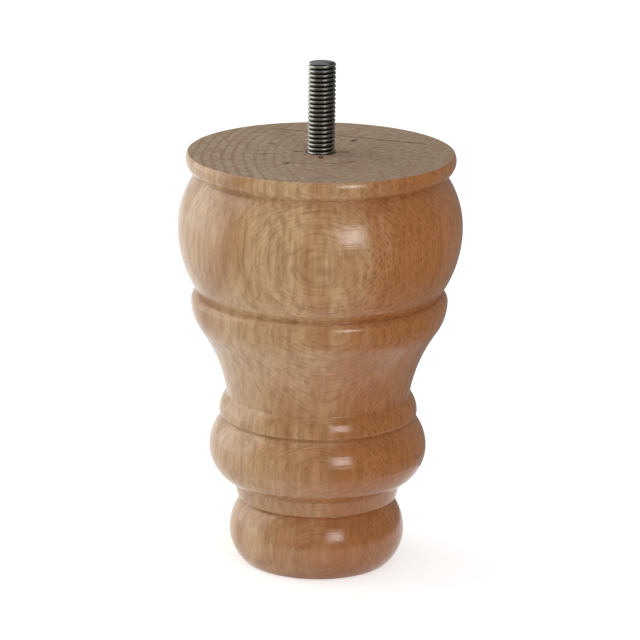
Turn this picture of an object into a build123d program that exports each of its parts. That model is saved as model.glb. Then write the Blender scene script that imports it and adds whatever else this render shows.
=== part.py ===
from build123d import *
import math
import os

# A turned wooden foot for furniture, with a threaded steel stud in its top.
# It stands on z = 0 with its axis on Z. Sizes are in millimetres.

# Overall height of the wood, and the flat faces at its two ends
foot_height = 122.0
base_radius = 21.4
top_face_radius = 38.25

# Points of the turned outline as (radius, height), from the base up.
# A widest point is where a bulge runs straight up, and a crease is the bottom of a cut between two bulges.
bun_widest = (25.55, 9.0)
bun_crease = (21.6, 19.1)
neck_bottom = (23.35, 19.55)
neck_crease = (24.5, 24.3)
torus_widest = (31.6, 34.5)
torus_crease = (27.55, 44.0)
bead_widest = (28.8, 45.35)
bead_crease = (26.6, 50.7)
ogee_change = (34.6, 70.55)
ring_widest = (37.1, 78.5)
ring_crease = (34.9, 80.95)
belly_widest = (41.0, 100.1)
belly_crease = (35.55, 116.05)
rim_widest = (38.75, 120.05)

# Hanger bolt: M8 machine thread above the wood, and a slimmer wood-screw end with a point inside it
stud_radius = 4.0
stud_exposed = 26.0
stud_end_chamfer = 0.4
shank_radius = 3.5
shank_length = 30.0
shank_point_length = 7.0

# Pilot hole that the wood-screw end fills, drilled down the axis from the top face
hole_mouth_radius = 4.6
drill_point_angle = 118.0

# Marks that the lathe leaves: four prongs round the hole on top, and a centre in the base
prong_count = 4
prong_circle_radius = 6.6
prong_length = 3.0
prong_width = 1.3
prong_depth = 1.3
centre_mark_radius = 2.5
centre_mark_angle = 60.0

UP = (0, 1)
DOWN = (0, -1)


def turned(outline):
    """A solid of revolution about Z, from a closed outline drawn as (radius, height)."""
    return revolve(Plane.XZ * make_face(outline), axis=Axis.Z)


def turned_body():
    """The wood as it comes off the lathe: every bulge and hollow is an arc of the outline."""
    under_ring = TangentArc(ring_widest, ogee_change, tangent=DOWN)
    outline = Curve() + [
        Line((0, 0), (base_radius, 0)),
        # Bun at the floor, the narrow neck above it, and the torus over the neck
        TangentArc(bun_widest, (base_radius, 0), tangent=DOWN),
        TangentArc(bun_widest, bun_crease, tangent=UP),
        Line(bun_crease, neck_bottom),
        Line(neck_bottom, neck_crease),
        TangentArc(torus_widest, neck_crease, tangent=DOWN),
        TangentArc(torus_widest, torus_crease, tangent=UP),
        # Thin bead, then the long ogee that swells out to the ring
        TangentArc(bead_widest, torus_crease, tangent=DOWN),
        TangentArc(bead_widest, bead_crease, tangent=UP),
        TangentArc(ogee_change, bead_crease, tangent=under_ring % 1),
        under_ring,
        TangentArc(ring_widest, ring_crease, tangent=UP),
        # Belly, and the rim that rolls over into the top face
        TangentArc(belly_widest, ring_crease, tangent=DOWN),
        TangentArc(belly_widest, belly_crease, tangent=UP),
        TangentArc(rim_widest, belly_crease, tangent=DOWN),
        TangentArc(rim_widest, (top_face_radius, foot_height), tangent=UP),
        Line((top_face_radius, foot_height), (0, foot_height)),
        Line((0, foot_height), (0, 0)),
    ]
    return turned(outline)


def pilot_hole():
    """What the drill and countersink take out: a bore with a pointed bottom and a chamfered mouth."""
    bottom = foot_height - shank_length
    point_depth = shank_radius / math.tan(math.radians(drill_point_angle / 2))
    mouth_depth = hole_mouth_radius - shank_radius
    return turned(
        Polyline(
            (0, bottom - point_depth),
            (shank_radius, bottom),
            (shank_radius, foot_height - mouth_depth),
            (hole_mouth_radius, foot_height),
            (0, foot_height),
            close=True,
        )
    )


def prong_marks():
    """Four wedge-shaped dents where the prongs of the drive centre bit into the end grain."""
    wedge = Polyline(
        (-prong_width / 2, foot_height),
        (0, foot_height - prong_depth),
        (prong_width / 2, foot_height),
        close=True,
    )
    start = prong_circle_radius - prong_length / 2
    mark = extrude(Plane.YZ.offset(start) * make_face(wedge), amount=prong_length)
    step = 360 / prong_count
    return [Rot(0, 0, step * turn) * mark for turn in range(prong_count)]


def centre_mark():
    """The cone that the tailstock's centre leaves in the base."""
    depth = centre_mark_radius / math.tan(math.radians(centre_mark_angle / 2))
    return turned(Polyline((0, 0), (centre_mark_radius, 0), (0, depth), close=True))


def turned_foot():
    """The finished piece of beech, in one solid."""
    return turned_body() - pilot_hole() - prong_marks() - centre_mark()


def threaded_stud():
    """The hanger bolt without its threads: each end is a rod at its thread's outside diameter."""
    top = foot_height + stud_exposed
    bottom = foot_height - shank_length
    return turned(
        Polyline(
            (0, bottom),
            (shank_radius, bottom + shank_point_length),
            (shank_radius, foot_height),
            (stud_radius, foot_height),
            (stud_radius, top - stud_end_chamfer),
            (stud_radius - stud_end_chamfer, top),
            (0, top),
            close=True,
        )
    )


os.makedirs("parts", exist_ok=True)
for name, solid in (("turned_foot", turned_foot()), ("threaded_stud", threaded_stud())):
    export_step(solid, f"parts/{name}.step")
    print(name, round(solid.volume / 1000, 2), "cm3")
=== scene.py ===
import math
import bmesh
import bpy
from mathutils import Matrix, Vector


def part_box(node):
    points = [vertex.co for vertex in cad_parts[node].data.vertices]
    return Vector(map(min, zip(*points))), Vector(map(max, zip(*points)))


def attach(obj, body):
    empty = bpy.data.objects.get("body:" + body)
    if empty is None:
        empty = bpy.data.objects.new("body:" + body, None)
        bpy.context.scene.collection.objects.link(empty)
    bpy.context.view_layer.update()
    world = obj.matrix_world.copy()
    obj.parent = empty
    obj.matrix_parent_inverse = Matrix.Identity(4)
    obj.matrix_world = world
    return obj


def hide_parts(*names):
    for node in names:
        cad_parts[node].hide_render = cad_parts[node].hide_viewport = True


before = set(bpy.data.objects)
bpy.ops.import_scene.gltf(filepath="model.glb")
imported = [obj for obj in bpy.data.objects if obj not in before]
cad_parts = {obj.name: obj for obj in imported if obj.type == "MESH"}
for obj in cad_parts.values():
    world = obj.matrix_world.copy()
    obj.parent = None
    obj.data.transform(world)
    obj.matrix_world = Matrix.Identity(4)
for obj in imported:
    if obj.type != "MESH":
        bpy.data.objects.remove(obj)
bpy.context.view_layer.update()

# Turned foot
# One piece of beech, turned between centres with shaped knives and dipped in clear gloss lacquer.
# Its flat top is bare end grain, dented by the prongs of the lathe's drive centre.
MM = 0.001
UP = math.radians(90)
DOWN = math.radians(-90)

# Outline as (radius, height) in mm: a bulge runs straight up at its widest, and meets the next in a crease
foot_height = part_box("turned_foot")[1][2] / MM
base_radius = 21.4
bun_widest = (25.55, 9.0)
bun_crease = (21.6, 19.1)
neck_bottom = (23.35, 19.55)
neck_crease = (24.5, 24.3)
torus_widest = (31.6, 34.5)
torus_crease = (27.55, 44.0)
bead_widest = (28.8, 45.35)
bead_crease = (26.6, 50.7)
ogee_change = (34.6, 70.55)
ring_widest = (37.1, 78.5)
ring_crease = (34.9, 80.95)
belly_widest = (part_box("turned_foot")[1][0] / MM, 100.1)
belly_crease = (35.55, 116.05)
rim_widest = (38.75, 120.05)
top_edge = (38.25, foot_height)
dent_field = (19.0, foot_height)
hole_mouth = (4.6, foot_height)
hole_top = (3.5, foot_height - 1.1)
hole_bottom = (3.5, foot_height - 30.0)
hole_point = (0, foot_height - 32.1)
centre_mark_tip = (0, 4.33)
centre_mark_edge = (2.5, 0)

steps_round = 300
lacquer_fillet = 0.35
corner_angle = math.radians(18)
sharp_angle = math.radians(40)
weld = 0.002


def tangent_arc(start, heading, end, steps):
    """Points after start on the arc that leaves start along heading and reaches end, and its last heading."""
    across, up = end[0] - start[0], end[1] - start[1]
    chord = math.hypot(across, up)
    bend = math.remainder(math.atan2(up, across) - heading, math.tau)
    points = []
    for step in range(1, steps + 1):
        part = step / steps
        reach = chord * math.sin(bend * part) / math.sin(bend)
        angle = heading + bend * part
        points.append((start[0] + reach * math.cos(angle), start[1] + reach * math.sin(angle)))
    return points, heading + 2 * bend


def bulge(below, widest, above, steps_below, steps_above):
    """Points after the crease below a bulge, round its widest point, to the crease above it."""
    lower = tangent_arc(widest, DOWN, below, steps_below)[0]
    upper = tangent_arc(widest, UP, above, steps_above)[0]
    return lower[-2::-1] + [widest] + upper


def straight(start, end, steps):
    """Evenly spaced points after start on the straight line to end."""
    across, up = (end[0] - start[0]) / steps, (end[1] - start[1]) / steps
    return [(start[0] + across * step, start[1] + up * step) for step in range(1, steps + 1)]


def softened(points, reach):
    """The same outline with its sharp corners rounded, as sanding and lacquer round them."""
    result = [points[0]]
    for before, corner, after in zip(points, points[1:], points[2:]):
        corner = Vector(corner)
        into = corner - Vector(before)
        out = Vector(after) - corner
        if into.angle(out) < corner_angle or corner.x <= hole_mouth[0]:
            result.append(tuple(corner))
            continue
        start = corner - into.normalized() * min(reach, into.length * 0.45)
        end = corner + out.normalized() * min(reach, out.length * 0.45)
        for part in (0, 0.25, 0.5, 0.75, 1):
            curve = start * (1 - part) ** 2 + corner * 2 * part * (1 - part) + end * part**2
            result.append(tuple(curve))
    return result + [points[-1]]


under_ring, ogee_heading = tangent_arc(ring_widest, DOWN, ogee_change, 12)
cove = tangent_arc(ogee_change, ogee_heading, bead_crease, 18)[0]
outline = [centre_mark_tip, centre_mark_edge]
outline += straight(centre_mark_edge, (base_radius, 0), 6)
outline += bulge((base_radius, 0), bun_widest, bun_crease, 14, 14)
outline += [neck_bottom]
outline += straight(neck_bottom, neck_crease, 4)
outline += bulge(neck_crease, torus_widest, torus_crease, 16, 16)
outline += bulge(torus_crease, bead_widest, bead_crease, 6, 8)
outline += cove[-2::-1] + [ogee_change] + under_ring[-2::-1] + [ring_widest]
outline += tangent_arc(ring_widest, UP, ring_crease, 8)[0]
outline += bulge(ring_crease, belly_widest, belly_crease, 22, 20)
outline += bulge(belly_crease, rim_widest, top_edge, 12, 6)
outline += straight(top_edge, dent_field, 20)
outline += straight(dent_field, hole_mouth, 50)
outline += [hole_top, hole_bottom, hole_point]
outline = softened(outline, lacquer_fillet)


def add(tree, kind, inputs=None, **settings):
    """Adds a node with its settings. Each input, by name or number, takes a value, a socket or a node."""
    node = tree.nodes.new(kind)
    for name, value in settings.items():
        setattr(node, name, value)
    for key, value in (inputs or {}).items():
        if isinstance(value, bpy.types.Node):
            value = next(socket for socket in value.outputs if socket.enabled)
        if isinstance(value, bpy.types.NodeSocket):
            tree.links.new(value, node.inputs[key])
        else:
            node.inputs[key].default_value = value
    return node


def colour(hex_code):
    """An sRGB hex colour as linear RGBA."""
    parts = [int(hex_code[i : i + 2], 16) / 255 for i in (1, 3, 5)]
    return [c / 12.92 if c <= 0.04045 else ((c + 0.055) / 1.055) ** 2.4 for c in parts] + [1]


def new_tree(name, sizes):
    """An empty Geometry Nodes tree with named size inputs and a finish, and the outputs of its input node."""
    tree = bpy.data.node_groups.new(name, "GeometryNodeTree")
    tree.interface.new_socket("Geometry", in_out="INPUT", socket_type="NodeSocketGeometry")
    for size, kind in sizes.items():
        tree.interface.new_socket(size, in_out="INPUT", socket_type=kind)
    tree.interface.new_socket("Finish", in_out="INPUT", socket_type="NodeSocketMaterial")
    tree.interface.new_socket("Geometry", in_out="OUTPUT", socket_type="NodeSocketGeometry")
    return tree, tree.nodes.new("NodeGroupInput").outputs


def made(name, tree, start_mesh, values):
    """A plain mesh object made by running the tree once on start_mesh with these input values."""
    source = bpy.data.objects.new(name + "_source", start_mesh)
    bpy.context.collection.objects.link(source)
    modifier = source.modifiers.new("make", "NODES")
    modifier.node_group = tree
    for item in tree.interface.items_tree:
        if item.in_out == "INPUT" and item.name in values:
            modifier[item.identifier] = values[item.name]
    evaluated = source.evaluated_get(bpy.context.evaluated_depsgraph_get())
    mesh = bpy.data.meshes.new_from_object(evaluated)
    bpy.data.objects.remove(source)
    piece = bpy.data.objects.new(name, mesh)
    bpy.context.collection.objects.link(piece)
    return piece


def finish_mesh(mesh):
    """Turns every face outwards, and shades the mesh smooth between its sharp edges."""
    shell = bmesh.new()
    shell.from_mesh(mesh)
    bmesh.ops.recalc_face_normals(shell, faces=shell.faces)
    shell.to_mesh(mesh)
    shell.free()
    mesh.polygons.foreach_set("use_smooth", [True] * len(mesh.polygons))
    mesh.set_sharp_from_angle(angle=sharp_angle)


# Beech: growth rings curve about a pith beyond the foot's right side, which leans in towards the foot
# lower down, and the wood nearer to it is redder. The lean is kept small partly as painted light, so that
# the lower bulges stay paler where light from the floor falls on them. Rays are ribbons in planes across Y:
# dark flecks where they are cut across, and nested arcs in front of each bulge. Fibres are drawn coarser
# than they are.
pith = (72.7, -7.7)
pith_lean_with_painted_floor_light = 0.145
inner_reach, outer_reach = 57.0, 84.0
ring_width = 2.8
orange_streak_reach, orange_streak_width = 101.0, 4.5
fleck_cell = (3.2, 0.37, 1.9)
fibre_cell = (9.0, 0.26, 4.0)
streak_cell = (1.6, 1.6, 28.0)
band_cell = (7.0, 7.0, 90.0)
tool_mark_cell = (400.0, 400.0, 0.55)
relief = 0.05
end_cut, full_cut = 4.0, 16.0
foot_left, foot_right = -14.0, 10.0
outer_wood = colour("#D5AF83")
inner_wood = colour("#B07345")
orange_wood = colour("#B07843")
late_wood = colour("#8A5A2F")
ray_wood = colour("#5E3417")
weathered_wood = colour("#A99B89")
check_and_painted_shade = colour("#38241A")
drying_check = ((-13.4, 28.7), (-4.6, 25.6), (3.8, 21.4), (17.2, 16.1), (30.6, 10.7))


def beech(name, lacquered):
    """Beech with its grain running up the foot, either under gloss lacquer or as bare end grain."""
    material = bpy.data.materials.new(name)
    material.use_nodes = True
    tree = material.node_tree
    tree.nodes.clear()
    place = add(tree, "ShaderNodeTexCoord").outputs["Object"]
    in_mm = add(tree, "ShaderNodeVectorMath", {0: place, "Scale": 1 / MM}, operation="SCALE")
    x, y, z = add(tree, "ShaderNodeSeparateXYZ", {0: in_mm}).outputs

    # The slow wander of the grain, so that no ring or ray is quite straight
    slow = add(tree, "ShaderNodeVectorMath", {0: in_mm, 1: (0.04, 0.04, 0.016)}, operation="MULTIPLY")
    wander = add(tree, "ShaderNodeTexNoise", {"Vector": slow, "Scale": 1.0, "Detail": 2.0}).outputs["Color"]
    x_shift, y_shift, _ = add(tree, "ShaderNodeSeparateXYZ", {0: wander}).outputs

    # Growth rings: each year's wood darkens slowly towards its edge
    below_top = add(tree, "ShaderNodeMath", {0: foot_height, 1: z}, operation="SUBTRACT")
    level_x = add(tree, "ShaderNodeMath", {0: below_top, 1: pith_lean_with_painted_floor_light, 2: x}, operation="MULTIPLY_ADD")
    flat = add(tree, "ShaderNodeCombineXYZ", {0: level_x, 1: y})
    reach = add(tree, "ShaderNodeVectorMath", {0: flat, 1: (pith[0], pith[1], 0)}, operation="DISTANCE")
    ring_place = add(tree, "ShaderNodeMath", {0: x_shift, 1: 5.0, 2: reach}, operation="MULTIPLY_ADD")
    years = add(tree, "ShaderNodeMath", {0: ring_place, 1: ring_width}, operation="DIVIDE")
    year = add(tree, "ShaderNodeMath", {0: years}, operation="FRACT")
    rise = add(tree, "ShaderNodeMapRange", {0: year, 1: 0.5, 2: 0.9}, interpolation_type="SMOOTHSTEP")
    fall = add(tree, "ShaderNodeMapRange", {0: year, 1: 0.9, 2: 1.0, 3: 1.0, 4: 0.0})
    ring = add(tree, "ShaderNodeMath", {0: rise, 1: fall}, operation="MULTIPLY")

    # Flecks, where rays are cut across: fewer in front and behind, and darkest in the redder wood
    across = add(tree, "ShaderNodeMath", {0: y_shift, 1: 3.0, 2: y}, operation="MULTIPLY_ADD")
    grain = add(tree, "ShaderNodeCombineXYZ", {0: x, 1: across, 2: z})
    fleck_space = add(tree, "ShaderNodeVectorMath", {0: grain, 1: fleck_cell}, operation="DIVIDE")
    to_fleck = add(tree, "ShaderNodeTexVoronoi", {"Vector": fleck_space, "Scale": 1.0})
    fleck = add(tree, "ShaderNodeMapRange", {0: to_fleck, 1: 0.15, 2: 0.48, 3: 1.0, 4: 0.0})
    sideways = add(tree, "ShaderNodeMath", {0: x}, operation="ABSOLUTE")
    cut_across = add(tree, "ShaderNodeMapRange", {0: sideways, 1: end_cut, 2: full_cut})
    fleck = add(tree, "ShaderNodeMath", {0: fleck, 1: cut_across}, operation="MULTIPLY")
    darkness = add(tree, "ShaderNodeMapRange", {0: x, 1: foot_left, 2: foot_right, 3: 0.2, 4: 0.46})
    fleck = add(tree, "ShaderNodeMath", {0: fleck, 1: darkness}, operation="MULTIPLY")

    # Fibres: fine streaks up the grain, which open into nested arcs where a bulge is cut along them
    fibre_space = add(tree, "ShaderNodeVectorMath", {0: grain, 1: fibre_cell}, operation="DIVIDE")
    streak = add(tree, "ShaderNodeTexNoise", {"Vector": fibre_space, "Scale": 1.0, "Detail": 2.0})
    fibre = add(tree, "ShaderNodeMapRange", {0: streak, 1: 0.5, 2: 0.66})
    fibre_share = add(tree, "ShaderNodeMapRange", {0: cut_across, 3: 0.4, 4: 0.2})
    fibre = add(tree, "ShaderNodeMath", {0: fibre, 1: fibre_share}, operation="MULTIPLY")

    # Colour: redder to paler wood in soft bands up the grain, with darker streaks, then the rings and fibres
    band_space = add(tree, "ShaderNodeVectorMath", {0: in_mm, 1: band_cell}, operation="DIVIDE")
    band = add(tree, "ShaderNodeTexNoise", {"Vector": band_space, "Scale": 1.0, "Detail": 2.0})
    band_shift = add(tree, "ShaderNodeMath", {0: band, 1: 40.0, 2: -20.0}, operation="MULTIPLY_ADD")
    banded_reach = add(tree, "ShaderNodeMath", {0: reach, 1: band_shift}, operation="ADD")
    zone = add(tree, "ShaderNodeMapRange", {0: banded_reach, 1: inner_reach, 2: outer_reach})
    streak_space = add(tree, "ShaderNodeVectorMath", {0: grain, 1: streak_cell}, operation="DIVIDE")
    long_streak = add(tree, "ShaderNodeTexNoise", {"Vector": streak_space, "Scale": 1.0, "Detail": 3.0})
    long_streak = add(tree, "ShaderNodeMapRange", {0: long_streak, 1: 0.42, 2: 0.66, 3: 0.0, 4: 0.42})
    off_streak = add(tree, "ShaderNodeMath", {0: ring_place, 1: orange_streak_reach}, operation="SUBTRACT")
    off_streak = add(tree, "ShaderNodeMath", {0: off_streak}, operation="ABSOLUTE")
    orange_share = add(tree, "ShaderNodeMapRange", {0: off_streak, 2: orange_streak_width, 3: 0.75, 4: 0.0})
    outer_depth = 0.15 if lacquered else 0.45
    ring_depth = add(tree, "ShaderNodeMapRange", {0: reach, 1: 70.0, 2: 100.0, 3: 0.1, 4: outer_depth})
    ring_share = add(tree, "ShaderNodeMath", {0: ring, 1: ring_depth}, operation="MULTIPLY")
    wood = add(tree, "ShaderNodeMix", {0: zone, 6: inner_wood, 7: outer_wood}, data_type="RGBA")
    if lacquered:
        wood = add(tree, "ShaderNodeMix", {0: orange_share, 6: wood, 7: orange_wood}, data_type="RGBA")
    else:
        wood = add(tree, "ShaderNodeMix", {0: 0.8, 6: wood, 7: weathered_wood}, data_type="RGBA")
    wood = add(tree, "ShaderNodeMix", {0: long_streak, 6: wood, 7: late_wood}, data_type="RGBA")
    wood = add(tree, "ShaderNodeMix", {0: ring_share, 6: wood, 7: late_wood}, data_type="RGBA")
    wood = add(tree, "ShaderNodeMix", {0: fibre, 6: wood, 7: late_wood}, data_type="RGBA")
    surface = {"Roughness": 0.5, "IOR": 1.5}
    if lacquered:
        wood = add(tree, "ShaderNodeMix", {0: fleck, 6: wood, 7: ray_wood}, data_type="RGBA")
        # The faint rings that the knives leave round the turning, seen only in the lacquer's shine
        mark_space = add(tree, "ShaderNodeVectorMath", {0: in_mm, 1: tool_mark_cell}, operation="DIVIDE")
        mark = add(tree, "ShaderNodeTexNoise", {"Vector": mark_space, "Scale": 1.0, "Detail": 1.0})
        shine = add(tree, "ShaderNodeBump", {"Height": mark, "Strength": 1.0, "Distance": relief * MM})
        surface |= {"Specular IOR Level": 0.0, "Coat Weight": 1.0, "Coat Roughness": 0.17}
        surface |= {"Coat IOR": 1.5, "Coat Normal": shine}
    else:
        # A hairline drying check, and painted shade in the dents and down the hole
        check_start, check_end = drying_check[0][0], drying_check[-1][0]
        check_x = add(tree, "ShaderNodeMapRange", {0: x, 1: check_start, 2: check_end}, clamp=False)
        check_curve = add(tree, "ShaderNodeFloatCurve", {"Value": check_x})
        points = check_curve.mapping.curves[0].points
        for _ in drying_check[1:-1]:
            points.new(0, 0)
        for point, (check_at, check_y) in zip(points, drying_check):
            point.location = ((check_at - check_start) / (check_end - check_start), check_y / foot_height)
        check_curve.mapping.update()
        check_y = add(tree, "ShaderNodeMath", {0: check_curve, 1: foot_height}, operation="MULTIPLY")
        off_check = add(tree, "ShaderNodeMath", {0: y, 1: check_y}, operation="SUBTRACT")
        off_check = add(tree, "ShaderNodeMath", {0: off_check}, operation="ABSOLUTE")
        crack = add(tree, "ShaderNodeMapRange", {0: off_check, 1: 0.2, 2: 0.5, 3: 0.85, 4: 0.0})
        along = add(tree, "ShaderNodeMath", {0: check_x, 1: 0.5, 2: 0.5}, operation="COMPARE")
        crack = add(tree, "ShaderNodeMath", {0: crack, 1: along}, operation="MULTIPLY")
        dent_and_hole_shade = add(tree, "ShaderNodeAttribute", attribute_name="dent_and_hole_shade").outputs["Fac"]
        shade = add(tree, "ShaderNodeMath", {0: crack, 1: dent_and_hole_shade}, operation="MAXIMUM")
        wood = add(tree, "ShaderNodeMix", {0: shade, 6: wood, 7: check_and_painted_shade}, data_type="RGBA")
        rough = add(tree, "ShaderNodeBump", {"Height": streak, "Strength": 0.4, "Distance": relief * MM})
        surface |= {"Roughness": 0.8, "Specular IOR Level": 0.3, "Normal": rough}
    shader = add(tree, "ShaderNodeBsdfPrincipled", {"Base Color": wood} | surface)
    add(tree, "ShaderNodeOutputMaterial", {"Surface": shader})
    return material


lacquered_beech = beech("beech_turned_gloss_lacquer", True)
end_grain = beech("beech_bare_end_grain", False)

turning, sizes = new_tree("turning", {"Steps round": "NodeSocketInt", "Outline points": "NodeSocketInt"})
columns = add(turning, "ShaderNodeMath", {0: sizes["Steps round"], 1: 1.0}, operation="ADD")
sheet = add(turning, "GeometryNodeMeshGrid", {"Vertices X": columns, "Vertices Y": sizes["Outline points"]})
number = add(turning, "GeometryNodeInputIndex")
row = add(turning, "ShaderNodeMath", {0: number, 1: sizes["Outline points"]}, operation="MODULO")
column = add(turning, "ShaderNodeMath", {0: number, 1: sizes["Outline points"]}, operation="DIVIDE")
column = add(turning, "ShaderNodeMath", {0: column}, operation="FLOOR")
turn = add(turning, "ShaderNodeMath", {0: column, 1: sizes["Steps round"]}, operation="DIVIDE")
angle = add(turning, "ShaderNodeMath", {0: turn, 1: math.tau}, operation="MULTIPLY")
drawn = add(turning, "GeometryNodeInputPosition")
sample = {"Geometry": sizes["Geometry"], "Value": drawn, "Index": row}
point = add(turning, "GeometryNodeSampleIndex", data_type="FLOAT_VECTOR", inputs=sample)
swing = {"Vector": point, "Angle": angle}
turned_point = add(turning, "ShaderNodeVectorRotate", swing, rotation_type="Z_AXIS")
skin = add(turning, "GeometryNodeSetPosition", {"Geometry": sheet, "Position": turned_point})
closed = add(turning, "GeometryNodeMergeByDistance", {"Geometry": skin, "Distance": weld * MM})
real = add(turning, "GeometryNodeRealizeInstances", {"Geometry": closed})
finished = add(turning, "GeometryNodeSetMaterial", {"Geometry": real, "Material": sizes["Finish"]})
add(turning, "NodeGroupOutput", {0: finished})

drawing = bpy.data.meshes.new("outline")
strokes = [(i, i + 1) for i in range(len(outline) - 1)]
drawing.from_pydata([(r * MM, 0, z * MM) for r, z in outline], strokes, [])
foot = made("foot", turning, drawing, {
    "Steps round": steps_round, "Outline points": len(outline), "Finish": lacquered_beech,
})
foot.data.materials.append(end_grain)
end_grain_slot = len(foot.data.materials) - 1
flat_end_depth = 0.02
for face in foot.data.polygons:
    level = face.center.z / MM
    on_flat_end = level > foot_height - flat_end_depth or level < flat_end_depth
    if on_flat_end or face.center.xy.length < hole_mouth[0] * MM:
        face.material_index = end_grain_slot

# Dents in the top face as (angle in degrees, distance from the axis, length out from the axis, width, depth),
# in mm: four prongs round the stud, an outer ring of eight from a larger centre, two faint, and a knock
dents = [(turn, 6.6, 3.0, 1.4, 1.3) for turn in (0, 90, 180, 270)]
dents += [(-168, 16.6, 5.0, 1.0, 0.8), (146, 17.1, 3.0, 1.0, 0.7), (101, 17.2, 2.0, 0.7, 0.3)]
dents += [(58, 17.6, 3.4, 1.3, 0.9), (20, 17.4, 3.4, 0.9, 0.6), (-28, 17.4, 3.0, 0.9, 0.5)]
dents += [(-78, 17.0, 1.6, 0.6, 0.2), (-124, 16.9, 3.6, 1.3, 0.9), (1, 29.5, 1.0, 0.7, 0.5)]
dented_reach = 32
hole_margin = 0.1
shade_per_mm = 2
groove_radius, groove_start, groove_end, groove_width, groove_depth = 14.6, -116, -50, 1.0, 0.35


def dent_share(x, y):
    """How deep a point of the top face is pressed in, in mm."""
    distance, bearing = math.hypot(x, y), math.degrees(math.atan2(y, x))
    deepest = 0.0
    for turn, middle, length, width, depth in dents:
        off = math.radians(math.remainder(bearing - turn, 360)) * distance
        share = 1 - max(abs(distance - middle) / (length / 2), abs(off) / (width / 2))
        deepest = max(deepest, depth * min(1, share * 2))
    if groove_start < bearing < groove_end:
        deepest = max(deepest, groove_depth * (1 - abs(distance - groove_radius) / (groove_width / 2)))
    return deepest


# Painted shade: each dent is darkened in proportion to its depth, and the wood down the hole is painted fully
# dark
dent_and_hole_shade_marks = foot.data.attributes.new("dent_and_hole_shade", "FLOAT", "POINT")
for vertex in foot.data.vertices:
    x, y, z = vertex.co / MM
    off_axis = math.hypot(x, y)
    if z > foot_height - 0.01 and hole_mouth[0] + hole_margin < off_axis < dented_reach:
        depth = dent_share(x, y)
        vertex.co.z -= depth * MM
        dent_and_hole_shade_marks.data[vertex.index].value = min(1, depth * shade_per_mm)
    elif off_axis < hole_mouth[0] - hole_margin:
        dent_and_hole_shade_marks.data[vertex.index].value = 1
finish_mesh(foot.data)
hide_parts("turned_foot")
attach(foot, "root")

# Threaded stud
# A steel hanger bolt: machine thread above the wood, taken as M8, rolled and a little dark. Its flat end and
# length are assumed. Its other end, a coarse wood screw with a point, is assumed too: the foot hides it.
stud_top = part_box("threaded_stud")[1][2] / MM
stud_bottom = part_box("threaded_stud")[0][2] / MM
machine_thread = {
    "Bottom": foot_height - 0.6, "Top": stud_top, "Pitch": 1.25, "Crest radius": 4.0, "Root radius": 3.28,
    "End length": 0.4, "End radius": 3.6,
}
wood_screw = {
    "Bottom": foot_height - 0.6, "Top": stud_bottom, "Pitch": 3.2, "Crest radius": 3.5, "Root radius": 2.5,
    "End length": 7.0, "End radius": 0.3,
}
rows_per_pitch = 24
stud_steps_round = 96

# Rolled steel: painted shade darkens the thread towards its roots, and the crests keep the steel's own grey
steel = bpy.data.materials.new("steel_rolled_thread")
steel.use_nodes = True
steel_tree = steel.node_tree
steel_tree.nodes.clear()
place = add(steel_tree, "ShaderNodeTexCoord").outputs["Object"]
off_axis = add(steel_tree, "ShaderNodeVectorMath", {0: place, 1: (1, 1, 0)}, operation="MULTIPLY")
radius = add(steel_tree, "ShaderNodeVectorMath", {0: off_axis}, operation="LENGTH")
root_shade_radius = 3.35
painted_root_shade = colour("#3A3A34")
crest_steel = colour("#A9A8A0")
crest_radius = machine_thread["Crest radius"]
crest_share = add(steel_tree, "ShaderNodeMapRange", {0: radius, 1: root_shade_radius * MM, 2: crest_radius * MM})
tint = add(steel_tree, "ShaderNodeMix", {0: crest_share, 6: painted_root_shade, 7: crest_steel}, data_type="RGBA")
metal = add(steel_tree, "ShaderNodeBsdfPrincipled", {"Base Color": tint, "Metallic": 1.0, "Roughness": 0.3})
add(steel_tree, "ShaderNodeOutputMaterial", {"Surface": metal})

threading, sizes = new_tree("threading", {"Steps round": "NodeSocketInt", "Rows": "NodeSocketInt"} | {
    size: "NodeSocketFloat" for size in machine_thread
})
columns = add(threading, "ShaderNodeMath", {0: sizes["Steps round"], 1: 1.0}, operation="ADD")
all_rows = add(threading, "ShaderNodeMath", {0: sizes["Rows"], 1: 2.0}, operation="ADD")
sheet = add(threading, "GeometryNodeMeshGrid", {"Vertices X": columns, "Vertices Y": all_rows})
number = add(threading, "GeometryNodeInputIndex")
row = add(threading, "ShaderNodeMath", {0: number, 1: all_rows}, operation="MODULO")
column = add(threading, "ShaderNodeMath", {0: number, 1: all_rows}, operation="DIVIDE")
column = add(threading, "ShaderNodeMath", {0: column}, operation="FLOOR")
turn = add(threading, "ShaderNodeMath", {0: column, 1: sizes["Steps round"]}, operation="DIVIDE")
# Level of each row: the first and last rows repeat the ends, to close them on the axis
span = {0: row, 1: 1.0, 2: sizes["Rows"], 3: sizes["Bottom"], 4: sizes["Top"]}
level = add(threading, "ShaderNodeMapRange", span)
# Groove: distance along the helix in pitches, from 0 at a rounded crest to 0.5 at a sharp root
pitches = add(threading, "ShaderNodeMath", {0: level, 1: sizes["Pitch"]}, operation="DIVIDE")
phase = add(threading, "ShaderNodeMath", {0: pitches, 1: turn}, operation="SUBTRACT")
to_crest = add(threading, "ShaderNodeMath", {0: phase, 1: 0.5}, operation="PINGPONG")
drop = add(threading, "ShaderNodeMath", {0: to_crest, 1: 2.0}, operation="POWER")
flank = {0: drop, 2: 0.25, 3: sizes["Crest radius"], 4: sizes["Root radius"]}
thread_radius = add(threading, "ShaderNodeMapRange", flank)
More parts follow.
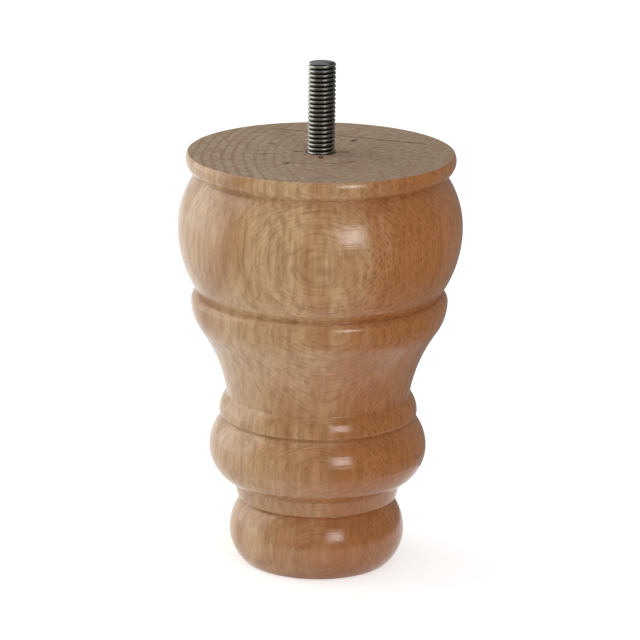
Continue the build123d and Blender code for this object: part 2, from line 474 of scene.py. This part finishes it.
# End: a chamfer on the machine thread, and a long point on the wood screw
from_end = add(threading, "ShaderNodeMath", {0: sizes["Top"], 1: level}, operation="SUBTRACT")
from_end = add(threading, "ShaderNodeMath", {0: from_end}, operation="ABSOLUTE")
end = {0: from_end, 2: sizes["End length"], 3: sizes["End radius"], 4: sizes["Crest radius"]}
end_radius = add(threading, "ShaderNodeMapRange", end)
thread_radius = add(threading, "ShaderNodeMath", {0: thread_radius, 1: end_radius}, operation="MINIMUM")
on_rod = add(threading, "ShaderNodeMapRange", {0: row, 1: 0.0, 2: 1.0})
before_end = add(threading, "ShaderNodeMath", {0: all_rows, 1: row}, operation="SUBTRACT")
before_end = add(threading, "ShaderNodeMapRange", {0: before_end, 1: 1.0, 2: 2.0})
thread_radius = add(threading, "ShaderNodeMath", {0: thread_radius, 1: on_rod}, operation="MULTIPLY")
thread_radius = add(threading, "ShaderNodeMath", {0: thread_radius, 1: before_end}, operation="MULTIPLY")
point = add(threading, "ShaderNodeCombineXYZ", {0: thread_radius, 2: level})
angle = add(threading, "ShaderNodeMath", {0: turn, 1: math.tau}, operation="MULTIPLY")
wound = add(threading, "ShaderNodeVectorRotate", {"Vector": point, "Angle": angle}, rotation_type="Z_AXIS")
skin = add(threading, "GeometryNodeSetPosition", {"Geometry": sheet, "Position": wound})
in_metres = add(threading, "GeometryNodeTransform", {"Geometry": skin, "Scale": (MM, MM, MM)})
closed = add(threading, "GeometryNodeMergeByDistance", {"Geometry": in_metres, "Distance": weld * MM})
real = add(threading, "GeometryNodeRealizeInstances", {"Geometry": closed})
finished = add(threading, "GeometryNodeSetMaterial", {"Geometry": real, "Material": sizes["Finish"]})
add(threading, "NodeGroupOutput", {0: finished})

both_ends = bmesh.new()
for name, thread in (("stud", machine_thread), ("screw_end", wood_screw)):
    rows = round(abs(thread["Top"] - thread["Bottom"]) / thread["Pitch"] * rows_per_pitch)
    values = {"Steps round": stud_steps_round, "Rows": rows, "Finish": steel} | thread
    stud = made(name, threading, bpy.data.meshes.new("empty"), values)
    both_ends.from_mesh(stud.data)
    if name == "screw_end":
        bpy.data.objects.remove(stud)
stud = bpy.data.objects["stud"]
both_ends.to_mesh(stud.data)
both_ends.free()
finish_mesh(stud.data)
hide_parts("threaded_stud")
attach(stud, "root")

# Floor
# A plain white studio floor that shows as white to the camera and keeps a soft shadow.
white = bpy.data.materials.new("studio_white")
white.use_nodes = True
white_tree = white.node_tree
white_tree.nodes.clear()
paint = add(white_tree, "ShaderNodeBsdfDiffuse", {"Color": colour("#F2F2F2")})
rays = add(white_tree, "ShaderNodeLightPath").outputs
seen = {0: rays["Is Camera Ray"], 1: rays["Is Transmission Ray"]}
shown = add(white_tree, "ShaderNodeMath", seen, operation="MAXIMUM")
shown = add(white_tree, "ShaderNodeMath", {0: shown, 1: rays["Is Glossy Ray"]}, operation="MAXIMUM")
floor_glow = 0.51
added = add(white_tree, "ShaderNodeMath", {0: shown, 1: floor_glow}, operation="MULTIPLY")
glow = add(white_tree, "ShaderNodeEmission", {"Color": (1, 1, 1, 1), "Strength": added})
brightened = add(white_tree, "ShaderNodeAddShader", {0: paint, 1: glow})
add(white_tree, "ShaderNodeOutputMaterial", {"Surface": brightened})

floor_size = 6.0
floor_mesh = bpy.data.meshes.new("floor")
half = floor_size / 2
floor_corners = [(-half, -half, 0), (half, -half, 0), (half, half, 0), (-half, half, 0)]
floor_mesh.from_pydata(floor_corners, [], [(0, 1, 2, 3)])
floor = bpy.data.objects.new("floor", floor_mesh)
bpy.context.collection.objects.link(floor)
floor.data.materials.append(white)

# Light
# A white tent all round, a tall softbox at the left, and a small one in front on the right, brightest in
# its middle.
world = bpy.data.worlds.new("tent")
bpy.context.scene.world = world
world.use_nodes = True
world_tree = world.node_tree
world_tree.nodes.clear()
tent_light = 0.55
rays = add(world_tree, "ShaderNodeLightPath").outputs
seen = {0: rays["Is Camera Ray"], 1: rays["Is Transmission Ray"]}
shown = add(world_tree, "ShaderNodeMath", seen, operation="MAXIMUM")
shown = add(world_tree, "ShaderNodeMath", {0: shown, 1: rays["Is Glossy Ray"]}, operation="MAXIMUM")
strength = add(world_tree, "ShaderNodeMapRange", {0: shown, 3: tent_light, 4: 1.0})
tent = add(world_tree, "ShaderNodeBackground", {"Color": (1, 1, 1, 1), "Strength": strength})
add(world_tree, "ShaderNodeOutputWorld", {"Surface": tent})


def softbox(name, turn, tilt, distance, width, height, power):
    """A rectangular lamp that faces the foot, turned rightwards from the camera and raised by tilt."""
    lamp = bpy.data.lights.new(name, "AREA")
    lamp.shape = "RECTANGLE"
    lamp.size, lamp.size_y = width, height
    lamp.energy = power
    box = bpy.data.objects.new(name, lamp)
    bpy.context.collection.objects.link(box)
    turn, tilt = math.radians(turn), math.radians(tilt)
    aim = Vector((0, 0, 0.07))
    out = Vector((math.sin(turn) * math.cos(tilt), -math.cos(turn) * math.cos(tilt), math.sin(tilt)))
    box.location = aim + out * distance
    box.rotation_euler = out.to_track_quat("Z", "Y").to_euler()
    box.visible_camera = False


softbox("front_softbox", 26, 16.5, 1.2, 0.45, 0.5, 2.9)
softbox("front_lamp", 26, 16.5, 1.19, 0.22, 0.24, 0.65)
softbox("left_softbox", -107, 15, 1.0, 1.0, 1.3, 5.1)

# Black cloth, laid on the floor and hung round the front and the right behind the front softbox,
# keeps the white room out of the gloss there. It is grey behind the foot, and paler close to it.
cloth_line = ((0.075, 0.001), (0.105, 0.001), (0.16, 0.001), (1.5, 0.001), (1.5, 2.5))
cloth_start, cloth_end, panel_turn, grey_start = -72, 180, 4, 112
corners, panels, shades = [], [], []
for turn in range(cloth_start, cloth_end, panel_turn):
    for panel_edge in (turn, turn + panel_turn):
        across, along = math.sin(math.radians(panel_edge)), -math.cos(math.radians(panel_edge))
        corners += [(across * reach, along * reach, height) for reach, height in cloth_line]
    row_length = len(cloth_line)
    start = len(corners) - 2 * row_length
    for i in range(start, start + row_length - 1):
        panels.append((i, i + 1, i + row_length + 1, i + row_length))
    shades += [2, 1, 1, 1] if turn >= grey_start else [2, 1, 0, 0]
curtain_mesh = bpy.data.meshes.new("curtain")
curtain_mesh.from_pydata(corners, [], panels)
cloth_shades = {"black_cloth": "#585858", "grey_cloth": "#A0A0A0", "pale_cloth": "#D0D0D0"}
for name, shade in cloth_shades.items():
    cloth = bpy.data.materials.new(name)
    cloth.use_nodes = True
    cloth.node_tree.nodes.clear()
    dull = add(cloth.node_tree, "ShaderNodeBsdfDiffuse", {"Color": colour(shade)})
    add(cloth.node_tree, "ShaderNodeOutputMaterial", {"Surface": dull})
    curtain_mesh.materials.append(cloth)
curtain_mesh.polygons.foreach_set("material_index", shades)
curtain = bpy.data.objects.new("curtain", curtain_mesh)
bpy.context.collection.objects.link(curtain)
curtain.visible_camera = False
curtain.visible_diffuse = False
curtain.visible_shadow = False

# Camera
# A long lens a metre away, looking down a little at the foot as the photograph does.
camera_distance = 1030.8
camera_height_angle = 15.954
lens_length = 200.3
target = Vector((0.28, 0, 71.985)) * MM
lean = 0.714
camera_data = bpy.data.cameras.new("camera")
camera_data.sensor_width = 36
camera_data.lens = lens_length
camera_data.clip_end = 20
camera = bpy.data.objects.new("camera", camera_data)
bpy.context.collection.objects.link(camera)
down = math.radians(camera_height_angle)
camera.matrix_world = (
    Matrix.Translation(target)
    @ Matrix.Rotation(math.radians(90) - down, 4, "X")
    @ Matrix.Rotation(math.radians(lean), 4, "Z")
    @ Matrix.Translation((0, 0, camera_distance * MM))
)
bpy.context.scene.camera = camera

bpy.context.scene.view_settings.view_transform = "Standard"
